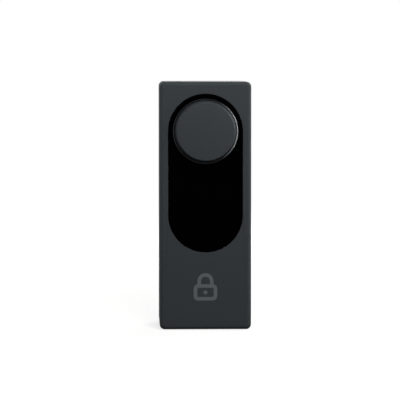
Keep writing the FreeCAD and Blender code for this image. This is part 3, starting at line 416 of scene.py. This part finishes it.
# ---- indoor unit: shell, fascia and knob --------------------------------------------------------------
def make_shell():
    """Deep cup with rounded edges and the fascia's window; its wall comes from a solidify."""
    low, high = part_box("front_shell")
    panel_radius, drop = stadium("fascia_panel")[2:]
    window = panel_radius - FLANGE
    bm = bmesh.new()
    bmesh.ops.create_cube(bm, size=1.0, matrix=box_matrix(low, high))
    open_back = [f for f in bm.faces if f.normal.y > 0.5]
    bmesh.ops.delete(bm, geom=open_back, context="FACES_ONLY")
    outer = [e for e in bm.edges if min(v.co.y for v in e.verts) < (low.y + high.y) / 2]
    soften(bm, [e for e in outer if abs(e.verts[0].co.y - e.verts[1].co.y) > MM], CORNER_ROUND, 10)
    soften(bm, [e for e in bm.edges if all(v.co.y < low.y + NEAR for v in e.verts)], FRONT_ROUND, 8)
    front = max((f for f in bm.faces if f.normal.y < -0.99), key=lambda f: f.calc_area())
    bmesh.ops.inset_region(bm, faces=[front], thickness=FLAT_BORDER, use_even_offset=True)
    rim = list(front.edges)
    bmesh.ops.delete(bm, geom=[front], context="FACES_ONLY")
    rim += stadium_loop(bm, window, drop, low.y)
    bmesh.ops.triangle_fill(bm, use_beauty=True, edges=rim, normal=(0, -1, 0))
    shell = finish_piece("shell", bm, "cover", "slate_shell", ["front_shell"])
    wall = shell.modifiers.new("wall", "SOLIDIFY")
    wall.thickness = SHELL_WALL
    wall.offset = -1
    edge = shell.modifiers.new("edge", "BEVEL")
    edge.width = SOFT_EDGE
    edge.segments = 3
    edge.limit_method = "ANGLE"
    edge.angle_limit = WALL_CORNER
    level = shell.modifiers.new("level", "WEIGHTED_NORMAL")
    level.weight = 90
    level.keep_sharp = True


def make_shell_ribs():
    """Two stiffening ribs across the inside of the shell's front wall."""
    low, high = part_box("front_shell")
    half = Vector((RIB_REACH * high.x, RIB_DEEP / 2, RIB_THICK / 2))
    bm = bmesh.new()
    for level in RIB_LEVELS:
        z = high.z - level * (high.z - low.z)
        middle = Vector((0, low.y + SHELL_WALL - RIB_SUNK + RIB_DEEP / 2, z))
        bmesh.ops.create_cube(bm, size=1.0, matrix=box_matrix(middle - half, middle + half))
    soften(bm, sharp_edges(bm), RIB_EDGE, 2)
    finish_piece("shell_ribs", bm, "cover", "slate_shell")


def make_fascia():
    """Gloss panel: a raised field with softened edges on a wider flange, bored for the knob."""
    low, high, radius, drop = stadium("fascia_panel")
    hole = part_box("knob_trim_ring")[1].x + KNOB_GAP
    bm = bmesh.new()
    field = plate(bm, radius - FLANGE - FIELD_GAP, drop, high.y - FIELD_SHORT, low.y, hole)
    round_hole = [e for e in field if all(v.co.xz.length < hole + NEAR for v in e.verts)]
    soften(bm, [e for e in field if e not in round_hole], FIELD_EDGE, 4)
    soften(bm, round_hole, HOLE_EDGE, 2)
    plate(bm, radius, drop, high.y, high.y - FLANGE_THICK, hole)
    finish_piece("fascia", bm, "cover", "fascia_gloss", ["fascia_panel"])


def make_knob_cap():
    """Turned cap: flat face, eased edge and a leaning side down to the trim ring, every corner softened."""
    low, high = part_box("knob_cap")
    foot = high.x
    front = foot - KNOB_TAPER
    inside = low.y + CAP_WALL
    bm = bmesh.new()
    turned(bm, [
        (0, low.y), (front - KNOB_EDGE, low.y), (front, low.y + KNOB_EDGE), (foot, high.y),
        (foot - CAP_WALL, high.y), (front - CAP_WALL, inside), (0, inside),
    ])
    soften(bm, sharp_edges(bm), KNOB_CORNER, 4)
    finish_piece("cap", bm, "knob", "slate_knob", ["knob_cap"])


def make_trim_ring():
    """Polished ring: a round shoulder in front, a small radius behind."""
    low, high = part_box("knob_trim_ring")
    outer = high.x
    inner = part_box("knob_cap")[1].x - CAP_WALL
    bm = bmesh.new()
    turned(bm, [(inner, low.y), (outer, low.y), (outer, high.y), (inner, high.y), (inner, low.y)])
    shoulder = [e for e in sharp_edges(bm) if all(v.co.xz.length > outer - SOFT_EDGE for v in e.verts)]
    soften(bm, [e for e in shoulder if e.verts[0].co.y < low.y + SOFT_EDGE], TRIM_SHOULDER, 10)
    behind = [e for e in shoulder if e.is_valid and e.verts[0].co.y > high.y - SOFT_EDGE]
    soften(bm, behind, TRIM_BACK_EDGE, 3)
    finish_piece("trim_ring", bm, "knob", "knob_trim", ["knob_trim_ring"], crease=60)


# ---- indoor unit: small parts on the main board -------------------------------------------------------
def make_chips():
    """Three rows of small passive parts, and two chips above them, on the main board's front."""
    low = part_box("main_board")[0]
    passive = Vector((1.1, -0.55, 0.6)) * MM
    chip = Vector((4.2, -0.9, 4.2)) * MM
    pitch_x = 2.1 * MM
    pitch_z = 2.6 * MM
    first = low + Vector((5.5, 0, 3.4)) * MM
    chip_z = -46.0 * MM
    parts = []
    for row in range(3):
        parts += [(first + Vector((step * pitch_x, 0, row * pitch_z)), passive) for step in range(7)]
    parts += [(Vector((x * MM, low.y, chip_z)), chip) for x in (-14.0, -7.5)]
    bm = bmesh.new()
    for corner, size in parts:
        bmesh.ops.create_cube(bm, size=1.0, matrix=box_matrix(corner, corner + size))
    soften(bm, sharp_edges(bm), CHIP_EDGE, 2)
    finish_piece("chips", bm, "lock_frame", "component_black")


# ---- outdoor unit: numerals ---------------------------------------------------------------------------
def make_numerals():
    """Faint numerals on the touch face, in three columns, with a ring round the last one."""
    high, drop = stadium("keypad_face")[1::2]
    pitch = drop / 2
    bm = bmesh.new()
    marks = [(str(3 * row + column + 1), column - 1, 1 - row) for row in range(3) for column in range(3)]
    marks.append(("0", 0, -2))
    for sign, column, row in marks:
        curve = bpy.data.curves.new("numeral", "FONT")
        curve.body = sign
        curve.align_x, curve.align_y = "CENTER", "CENTER"
        curve.size = NUMERAL_HIGH
        curve.extrude = THIN / 2
        holder = bpy.data.objects.new("numeral", curve)
        bpy.context.scene.collection.objects.link(holder)
        flat = bpy.data.meshes.new_from_object(holder)
        outward = Matrix(((-1, 0, 0, 0), (0, 0, 1, 0), (0, 1, 0, 0), (0, 0, 0, 1)))
        place = Vector((-column * pitch, high.y + THIN / 2, row * pitch))
        flat.transform(Matrix.Translation(place) @ outward)
        bm.from_mesh(flat)
        bpy.data.objects.remove(holder)
    centre = facing_y(high.y, 0, -2 * pitch)
    outer = bmesh.ops.create_circle(bm, radius=NUMERAL_RING, segments=96, matrix=centre)
    inner = bmesh.ops.create_circle(bm, radius=NUMERAL_RING - NUMERAL_LINE, segments=96, matrix=centre)
    ring = bmesh.ops.bridge_loops(bm, edges=edges_of(outer["verts"] + inner["verts"]))["faces"]
    top = bmesh.ops.extrude_face_region(bm, geom=ring, use_keep_orig=True)["geom"]
    bmesh.ops.translate(bm, verts=[v for v in top if isinstance(v, bmesh.types.BMVert)], vec=(0, THIN, 0))
    finish_piece("numerals", bm, "lock_frame", "numeral_ink")


make_shell()
make_shell_ribs()
make_fascia()
make_knob_cap()
make_trim_ring()
make_chips()
make_numerals()


# ---- stage --------------------------------------------------------------------------------------------
FLOOR_RADIUS = 6.0
FLOOR_DROP = 0.3 * MM            # the floor lies this far under the lock
CARD_RADIUS = 0.6
CARD_DROP = 0.1 * MM
CARD_FORWARD = 0.05
WHITE = (1, 1, 1, 1)
BLACK = (0, 0, 0, 1)


def softbox(name, place, aim, width, height, power, mirrored=True, scattered=True):
    """Area light aimed at a point, hidden from the camera; it can give only mirrored or scattered light."""
    light = bpy.data.lights.new(name, "AREA")
    light.shape = "RECTANGLE"
    light.size, light.size_y = width, height
    light.energy = power
    lamp = bpy.data.objects.new(name, light)
    lamp.location = place
    lamp.rotation_mode = "QUATERNION"
    lamp.rotation_quaternion = (Vector(aim) - Vector(place)).to_track_quat("-Z", "Y")
    lamp.visible_camera = False
    lamp.visible_glossy = mirrored
    lamp.visible_diffuse = scattered
    bpy.context.scene.collection.objects.link(lamp)


def make_floor():
    """Pale floor that fades out with distance, so that it has no far edge."""
    centre = Matrix.Translation((0, 0, cad_box[0].z - FLOOR_DROP))
    bm = bmesh.new()
    bmesh.ops.create_circle(bm, cap_ends=True, radius=FLOOR_RADIUS, segments=96, matrix=centre)
    mesh = bpy.data.meshes.new("floor")
    bm.to_mesh(mesh)
    bm.free()
    material = bpy.data.materials.new("pale_floor")
    material.use_nodes = True
    tree = material.node_tree
    tree.nodes.clear()
    place = add(tree, "TexCoord").outputs["Object"]
    away = add(tree, "VectorMath", {0: place}, operation="LENGTH").outputs["Value"]
    fade = add(tree, "MapRange", {"Value": away, "From Min": 0.25, "From Max": 1.1},
               interpolation_type="SMOOTHSTEP")
    matt = add(tree, "BsdfDiffuse", {"Color": tint("B4B4B2")})
    glow = add(tree, "Emission", {"Color": WHITE, "Strength": 0.8})
    pale = add(tree, "AddShader", {0: matt.outputs[0], 1: glow.outputs[0]})
    clear = add(tree, "BsdfTransparent")
    mixed = add(tree, "MixShader", {0: fade.outputs[0], 1: pale.outputs[0], 2: clear.outputs[0]})
    add(tree, "OutputMaterial", {"Surface": mixed.outputs[0]})
    mesh.materials.append(material)
    floor = bpy.data.objects.new("floor", mesh)
    floor.visible_glossy = False
    floor.visible_diffuse = False
    bpy.context.scene.collection.objects.link(floor)


def make_dark_card():
    """Black card on the floor, met only by scattered light: it keeps the floor from lighting the object."""
    centre = Matrix.Translation((0, -CARD_FORWARD, cad_box[0].z - CARD_DROP))
    bm = bmesh.new()
    bmesh.ops.create_circle(bm, cap_ends=True, radius=CARD_RADIUS, segments=96, matrix=centre)
    mesh = bpy.data.meshes.new("dark_card")
    bm.to_mesh(mesh)
    bm.free()
    material = bpy.data.materials.new("black_card")
    material.use_nodes = True
    tree = material.node_tree
    tree.nodes.clear()
    black = add(tree, "BsdfDiffuse", {"Color": BLACK})
    add(tree, "OutputMaterial", {"Surface": black.outputs[0]})
    mesh.materials.append(material)
    card = bpy.data.objects.new("dark_card", mesh)
    card.visible_camera = False
    card.visible_glossy = False
    card.visible_shadow = False
    bpy.context.scene.collection.objects.link(card)


def make_world():
    """White surroundings to look at. Scattered light comes mostly from in front; reflections, from behind."""
    world = bpy.data.worlds.new("studio")
    world.use_nodes = True
    tree = world.node_tree
    tree.nodes.clear()
    path = add(tree, "LightPath")
    way = add(tree, "SeparateXYZ", {"Vector": add(tree, "TexCoord").outputs["Generated"]})
    fill = add(tree, "MapRange", {"Value": way.outputs["Y"], "From Min": -1.0, "From Max": 0.0,
                                  "To Min": 0.82, "To Max": 0.06})
    shine = add(tree, "MapRange", {"Value": way.outputs["Y"], "From Min": -0.45, "From Max": 0.8,
                                   "To Min": 0.01, "To Max": 0.42}, interpolation_type="SMOOTHSTEP")
    scattered = add(tree, "Background", {"Color": WHITE, "Strength": fill.outputs[0]}).outputs[0]
    mirrored = add(tree, "Background", {"Color": WHITE, "Strength": shine.outputs[0]}).outputs[0]
    seen = add(tree, "Background", {"Color": WHITE, "Strength": 1.0}).outputs[0]
    lit = add(tree, "MixShader", {0: path.outputs["Is Glossy Ray"], 1: scattered, 2: mirrored}).outputs[0]
    both = add(tree, "MixShader", {0: path.outputs["Is Camera Ray"], 1: lit, 2: seen}).outputs[0]
    add(tree, "OutputWorld", {"Surface": both})
    bpy.context.scene.world = world


def make_camera():
    """Long lens a little above the knob and to its left, framed round the indoor unit."""
    low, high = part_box("front_shell")
    height = high.z - low.z
    span = 1.609 * height        # width of the view at the indoor unit's front
    away = 1.3
    yaw = math.radians(1.8)
    pitch = math.radians(1.85)
    aim = Vector((-0.0222 * height, low.y, -0.2762 * height))
    place = Vector((-away * math.sin(yaw), low.y - away, away * math.sin(pitch)))
    data = bpy.data.cameras.new("camera")
    data.sensor_width = 36.0
    data.lens = data.sensor_width * (aim - place).length / span
    camera = bpy.data.objects.new("camera", data)
    camera.location = place
    camera.rotation_mode = "QUATERNION"
    camera.rotation_quaternion = (aim - place).to_track_quat("-Z", "Y")
    bpy.context.scene.collection.objects.link(camera)
    bpy.context.scene.camera = camera


bpy.context.scene.view_settings.view_transform = "Standard"
make_floor()
make_dark_card()
make_world()
make_camera()

# Each light's name, place, aim, width and height in metres, and watts.
softbox("key", (0.06, -0.36, 0.27), (0, -0.05, -0.03), 0.16, 0.16, 1.22, mirrored=False)
softbox("right_front", (0.5, -0.45, 0.02), (0, -0.05, -0.01), 0.6, 1.1, 1.0, scattered=False)
softbox("right_strip", (0.30, -0.12, 0.0), (0, -0.05, 0.0), 0.05, 0.35, 0.2, scattered=False)
softbox("right_card", (0.42, 0.12, 0.26), (0, 0.03, -0.01), 0.25, 0.3, 1.0, scattered=False)
softbox("left_card", (-0.42, 0.25, 0.26), (0, 0.03, -0.01), 0.25, 0.3, 0.35, scattered=False)
softbox("right_side", (0.6, 0.5, 0.15), (0, 0.02, -0.02), 0.5, 0.5, 1.2)
softbox("left_side", (-0.6, 0.5, 0.15), (0, 0.02, -0.02), 0.5, 0.5, 0.5)
softbox("outdoor_key", (0.45, 1.0, 0.35), (0, 0.08, -0.02), 0.8, 0.8, 14)
